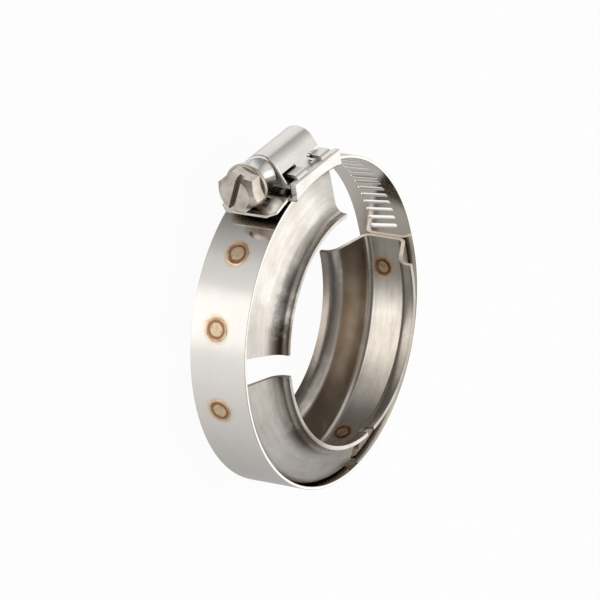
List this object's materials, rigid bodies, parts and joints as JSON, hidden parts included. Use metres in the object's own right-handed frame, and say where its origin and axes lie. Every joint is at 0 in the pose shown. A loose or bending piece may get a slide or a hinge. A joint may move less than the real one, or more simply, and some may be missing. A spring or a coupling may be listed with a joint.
{
  "type": "flange clamp",
  "caption": "Ring-shaped flange clamp: a slotted band with V-section retainers inside it, tightened by a worm screw in a pressed housing.",
  "frame": {"origin": "on the clamp axis, halfway across the band's width", "axes": "+Z along the clamp axis, +Y towards the screw housing, the screw along X with its head at -X"},
  "size_m": [0.066, 0.0745, 0.0216],
  "materials": {
    "band_steel": "bright rolled stainless strip",
    "retainer_steel": "roll-formed stainless, satin",
    "housing_steel": "pressed stainless, satin",
    "screw_steel": "turned and pressed stainless, satin"
  },
  "bodies": {
    "closed_side": {"housing_cap": "housing_steel", "saddle": "housing_steel", "retainer_upper_left": "retainer_steel", "retainer_lower": "retainer_steel", "band": "band_steel"},
    "tongue_side": {"retainer_right": "retainer_steel"},
    "screw": {"worm_screw": "screw_steel"}
  },
  "joints": [
    {"name": "screw_turn", "type": "hinge", "parent": "closed_side", "child": "screw", "pos_m": [0, 0.03692, 0], "axis": [1, 0, 0], "range_deg": [-360, 720]},
    {"name": "band_close", "type": "hinge", "parent": "closed_side", "child": "tongue_side", "pos_m": [0.00216, -0.03293, 0], "axis": [0, 0, 1], "range_deg": [-1.8, 3.6], "deforming": ["band"]}
  ],
  "couplings": [
    {"joint": "band_close", "follows": "screw_turn", "ratio": 0.004985}
  ]
}
